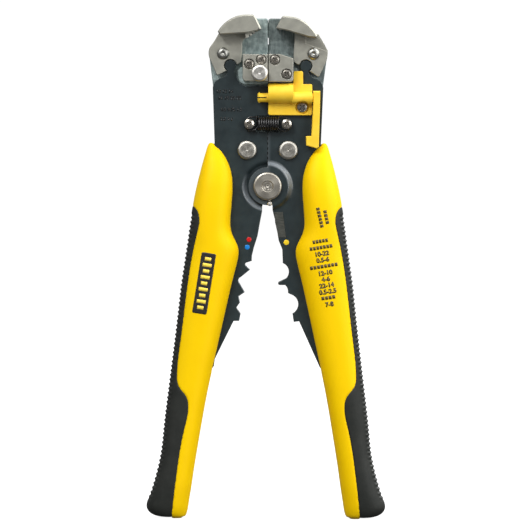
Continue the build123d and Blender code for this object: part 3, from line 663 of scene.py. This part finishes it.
def return_spring(material):
    """One wire: a loop round the left post, the close coil, a loop round the right post."""
    low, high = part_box("return_spring")
    middle = (low + high) / 2
    reach = (high.z - low.z) / 2
    gauge = 0.37 * MM
    radius = reach - gauge
    turns = 9
    turn_steps = 32
    half = 4.5 * MM
    loop_x = (high.x - low.x) / 2 - reach
    loop_turn = radians(318)
    loop_steps = 40
    lead_steps = 4
    path = []
    for step in range(loop_steps + 1):
        turn = pi / 2 + loop_turn * (1 - step / loop_steps)
        path.append(Vector((middle.x - loop_x + radius * cos(turn), middle.y,
                            middle.z + radius * sin(turn))))
    for step in range(1, lead_steps):
        x = middle.x - loop_x + (loop_x - half) * step / lead_steps
        path.append(Vector((x, middle.y, middle.z + radius)))
    for step in range(turns * turn_steps + 1):
        turn = tau * step / turn_steps
        x = middle.x - half + 2 * half * step / (turns * turn_steps)
        path.append(Vector((x, middle.y + radius * sin(turn), middle.z + radius * cos(turn))))
    for step in range(1, lead_steps):
        x = middle.x + half + (loop_x - half) * step / lead_steps
        path.append(Vector((x, middle.y, middle.z + radius)))
    for step in range(loop_steps + 1):
        turn = pi / 2 - loop_turn * step / loop_steps
        path.append(Vector((middle.x + loop_x + radius * cos(turn), middle.y,
                            middle.z + radius * sin(turn))))
    made = wire("return_spring_wire", eased(path, 2), gauge / MM, material)
    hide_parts("return_spring")
    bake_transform(made)


# ---------------------------------------------------------------- print and marks
def grip_label(front, panel_material, bar_material):
    """A plain black panel down the left grip with a row of plain yellow bars, in place of
    the photo's label."""
    top = Vector((-24.8, -28.5))
    bottom = Vector((-28.9, -54.4))
    centre = (top + bottom) / 2
    length = (top - bottom).length
    turn = -8.9
    draped("label_panel", grid(6.2, length, 16, 60, corner=0.6), centre, turn, front.y, 0.07,
           panel_material, "left_arm")
    bars = 9
    long_bar, short_bar, thick = 3.9, 2.7, 1.5
    pitch = length / (bars + 1)
    marks = [(grid(long_bar if n % 2 else short_bar, thick, 6, 2),
              (0.0, pitch * (n - (bars - 1) / 2)))
             for n in range(bars)]
    draped("label_bars", merged(marks), centre, turn, front.y, 0.1,
           bar_material, "left_arm")


def size_chart(front, material):
    """Wire sizes printed on the right grip as in the photo, without their units. Its worded
    lines are plain dashes."""
    turn = 9.5
    figure_height = 1.95
    dash_pitch, dash_share, dash_height = 1.45, 0.8, 1.5
    lines = (
        ("10-22", 23.3, -28.6),
        ("0.5-6", 23.8, -31.25),
        ("12-10", 24.8, -36.8),
        ("4-6", 25.1, -39.45),
        ("22-14", 25.5, -42.1),
        ("0.5-2.5", 26.0, -44.75),
        ("7-8", 26.7, -50.2),
    )
    for number, (text, x, z) in enumerate(lines):
        draped(f"size_print_{number}", figures(text, figure_height), (x, z), turn, front.y,
               0.05, material, "right_arm")
    bars = (
        (6.8, 22.6, -23.2, turn),
        (10.0, 23.0, -25.85, turn),
        (12.2, 24.2, -33.9, turn),
        (6.2, 26.2, -47.3, turn),
        (6.2, 25.1, -12.9, -77.0),
        (9.0, 22.4, -13.1, -77.0),
    )
    for number, (length, x, z, angle) in enumerate(bars):
        dashes = []
        count = max(3, round(length / dash_pitch))
        pitch = length / count
        for dash in range(count):
            shape = grid(pitch * dash_share, dash_height, 3, 2)
            dashes.append((shape, (pitch * (dash - (count - 1) / 2), 0.0)))
        draped(f"bar_print_{number}", merged(dashes), (x, z), angle, front.y, 0.05,
               material, "right_arm")


def plate_stamping(material):
    """Faint rows of figures on the left plate. The photo's stamping can't be read, so these
    wire sizes are made up."""
    plate_front = spot(0, PLATE_FRONT, 0).y
    rows = (
        ("10 12 14", -18.6, 40.4, 1.5),
        ("16 18 20 22", -16.4, 37.6, 1.5),
        ("0.5 0.75 1.5", -15.6, 32.6, 1.4),
        ("2.5 4 6", -17.6, 28.6, 1.4),
    )
    for number, (text, x, z, height) in enumerate(rows):
        draped(f"plate_stamp_{number}", figures(text, height), (x, z), 0.0,
               lambda _x, _z: plate_front, 0.012, material, "left_arm")


def paint_dot(name, centre, radius, colour, body):
    """A low dome of paint on the front of a handle plate."""
    material = paint_finish(name + "_paint", colour)
    dome = 0.16
    steps = 6
    profile = [(0, PLATE_FRONT - dome)]
    for step in range(1, steps + 1):
        turn = pi / 2 * step / steps
        profile.append((radius * sin(turn), PLATE_FRONT - dome * cos(turn)))
    sunk = PLATE_FRONT + 0.05
    profile += [(radius, sunk), (0, sunk)]
    lathe(name, centre, profile, material, body, steps=40)


def seam_shade_strip(material):
    """An invented dark strip that stands in for the shade in the seam between the handle plates,
    and keeps light from showing through it."""
    mesh = bpy.data.meshes.new("seam_shade_strip")
    bm = bmesh.new()
    rings = []
    steps = 60
    bottom, top = 8.3, 42.4
    ripple = 0.008
    for step in range(steps + 1):
        z = bottom + (top - bottom) * step / steps
        face = PLATE_FRONT + ripple * sin(step * 1.7)
        corners = (
            (-0.24, face), (0.2, face),
            (0.065, -1.25), (0.065, 1.2),
            (-0.05, 1.2), (-0.05, -1.29),
        )
        rings.append([bm.verts.new(spot(x, y, z)) for x, y in corners])
    for low, high in zip(rings, rings[1:]):
        for corner in range(len(low)):
            after = (corner + 1) % len(low)
            bm.faces.new([low[corner], low[after], high[after], high[corner]])
    bm.faces.new(rings[0])
    bm.faces.new(rings[-1][::-1])
    bmesh.ops.recalc_face_normals(bm, faces=bm.faces)
    bm.to_mesh(mesh)
    bm.free()
    made = added("seam_shade_strip", mesh, material, "right_arm")
    for polygon in mesh.polygons:
        polygon.use_smooth = False
    return made


# ---------------------------------------------------------------- assembly of the looks
def dress_cad_nodes():
    paint(["left_handle_plate"], black_plate_finish("black_plate_left"))
    paint(["right_handle_plate"], black_plate_finish("black_plate_right", 0.22))
    levers = ["gripping_lever", "blade_lever"]
    jaw_plates = ["lower_grip_plate", "lower_blade_plate"]
    paint(levers + jaw_plates, lever_finish())
    # Both jaws are one zinc: the left is painted lit, the right painted shaded.
    paint(["left_jaw_body"], die_cast_finish("die_cast_left_painted_lit", 1.75))
    paint(["right_jaw_body"], die_cast_finish("die_cast_right_painted_shaded", 0.85))
    turned = {
        "main_pivot_rivet": ((0.50, 0.47, 0.41), 0.42),
        "pivot_washer": ((0.6, 0.58, 0.54), 0.5),
        "handle_stop_pin": ((0.8, 0.78, 0.75), 0.4),
        "left_jaw_rivet": ((0.52, 0.50, 0.45), 0.36),
        "right_jaw_rivet": ((0.52, 0.50, 0.45), 0.36),
        "gripping_lever_pin": ((0.42, 0.42, 0.39), 0.4),
        "blade_lever_pin": ((0.42, 0.42, 0.39), 0.4),
        "tension_knob": ((0.76, 0.74, 0.69), 0.34),
    }
    for name, (colour, pitch) in turned.items():
        paint([name], turned_finish(name + "_steel", middle_of(name), pitch, colour))
    screws = ["blade_plate_screws", "grip_plate_screws", "stop_bracket_screw", "knob_nut",
              "left_spring_post", "right_spring_post"]
    paint(screws, screw_finish())
    paint(["left_jaw_spring", "right_jaw_spring", "knob_spring"], spring_finish())
    paint(["left_cutter_insert", "right_cutter_insert"], cutter_finish())
    paint(["upper_blade", "lower_blade"], knife_finish())
    stops = ["stop_bracket", "stop_shaft", "stop_bar"]
    paint(stops, yellow_stop_finish())


def dress_grips():
    yellow = yellow_grip_finish()
    rubber = rubber_finish()
    left_front = Front(grip_skins(-1, yellow, rubber))
    right_front = Front(grip_skins(1, yellow, rubber))
    bars = paint_finish("label_yellow", (0.95, 0.7, 0.08))
    grip_label(left_front, label_finish(), bars)
    size_chart(right_front, ink_finish())


# ---------------------------------------------------------------- studio
def studio_white():
    """White to the camera with a faint shadow; a dim graded room to reflections."""
    s = Shader("studio_white", (0.2, 0.2, 0.2), roughness=1.0, Specular_IOR_Level=0.0)
    s.set("Emission Color", (1, 1, 1, 1))
    s.set("Emission Strength", 0.96)
    split = s.nodes.new("ShaderNodeSeparateXYZ")
    s.links.new(s.place, split.inputs[0])
    glow = s.remap(split.outputs["Z"], 0.0, 3.0, 0.16, 0.6)
    room = s.node("Emission", Strength=glow)
    path = s.nodes.new("ShaderNodeLightPath")
    choice = s.node("MixShader", Fac=path.outputs["Is Camera Ray"])
    s.links.new(room.outputs[0], choice.inputs[1])
    s.links.new(s.surface.outputs[0], choice.inputs[2])
    s.links.new(choice.outputs[0], s.nodes["Material Output"].inputs["Surface"])
    return s.material


def studio_bowl():
    """A pale floor that curves up into walls all round."""
    floor_radius = 3.6
    bend = 1.6
    wall = 1.4
    steps = 96
    bend_steps = 12
    profile = [(0.0, 0.0), (floor_radius * 0.5, 0.0), (floor_radius, 0.0)]
    for step in range(1, bend_steps + 1):
        turn = pi / 2 * step / bend_steps
        profile.append((floor_radius + bend * sin(turn), bend * (1 - cos(turn))))
    profile.append((floor_radius + bend, bend + wall))
    mesh = bpy.data.meshes.new("studio")
    bm = bmesh.new()
    rings = []
    for radius, z in profile:
        ring = []
        for step in range(steps if radius else 1):
            turn = tau * step / steps
            ring.append(bm.verts.new((radius * cos(turn), radius * sin(turn), z)))
        rings.append(ring)
    for first, second in zip(rings, rings[1:]):
        for step in range(steps):
            after = (step + 1) % steps
            corners = [first[step % len(first)], first[after % len(first)],
                       second[after], second[step]]
            bm.faces.new(list(dict.fromkeys(corners)))
    bmesh.ops.recalc_face_normals(bm, faces=bm.faces)
    bm.to_mesh(mesh)
    bm.free()
    for polygon in mesh.polygons:
        polygon.use_smooth = True
    bowl = bpy.data.objects.new("studio_bowl", mesh)
    bpy.context.scene.collection.objects.link(bowl)
    mesh.materials.append(studio_white())


def soft_light(name, place, target, size, power):
    data = bpy.data.lights.new(name, "AREA")
    data.shape = "RECTANGLE"
    data.size, data.size_y = size
    data.energy = power
    lamp = bpy.data.objects.new(name, data)
    lamp.location = place
    lamp.rotation_euler = (Vector(target) - Vector(place)).to_track_quat("-Z", "Y").to_euler()
    bpy.context.scene.collection.objects.link(lamp)


def lights():
    target = (0, 0, 0.13)
    soft_light("key", (-0.8, -1.4, 1.5), target, (0.8, 0.8), 32)
    soft_light("fill", (1.2, -1.3, 0.5), target, (0.7, 1.1), 14)
    soft_light("top", (0.0, -0.1, 1.9), target, (1.2, 1.0), 10)
    soft_light("side", (1.15, -0.1, 1.05), target, (1.2, 1.3), 24)
    soft_light("back", (0.4, 1.6, 1.0), target, (1.2, 0.8), 24)
    world = bpy.data.worlds.new("studio")
    world.use_nodes = True
    world.node_tree.nodes["Background"].inputs["Color"].default_value = (1, 1, 1, 1)
    world.node_tree.nodes["Background"].inputs["Strength"].default_value = 0.3
    bpy.context.scene.world = world


def camera():
    """At the front from a good way off and slightly above, rolled a little to the tool's lean."""
    data = bpy.data.cameras.new("camera")
    data.lens = 420
    data.sensor_width = 36
    frame_height = 0.2268
    distance = frame_height * data.lens / data.sensor_width
    eye = bpy.data.objects.new("camera", data)
    aim = spot(-0.9, 0, -33.8)
    lift = 0.1  # metres above the aim, so the camera looks down by about 2 degrees
    roll = radians(-0.3)
    eye.location = aim + Vector((lift * sin(roll), -distance, lift * cos(roll)))
    eye.rotation_euler = (pi / 2 - atan2(lift, distance), roll, 0)
    bpy.context.scene.collection.objects.link(eye)
    bpy.context.scene.camera = eye


dress_cad_nodes()
dress_grips()
return_spring(spring_finish())
paint_dot("red_dot", (-7.83, -22.9), 1.05, (0.55, 0.006, 0.006), "left_arm")
paint_dot("blue_dot", (-8.56, -26.15), 1.05, (0.006, 0.2, 0.62), "left_arm")
paint_dot("yellow_dot", (8.17, -24.0), 1.15, (0.85, 0.6, 0.02), "right_arm")
# Painted shade: a dark strip in the seam between the plates.
seam_shade_strip(paint_finish("seam_dark", (0.004, 0.0045, 0.005)))
plate_stamping(paint_finish("stamp_ink", (0.007, 0.008, 0.009)))
studio_bowl()
lights()
camera()
bpy.context.scene.view_settings.view_transform = "Standard"

bpy.context.view_layer.update()
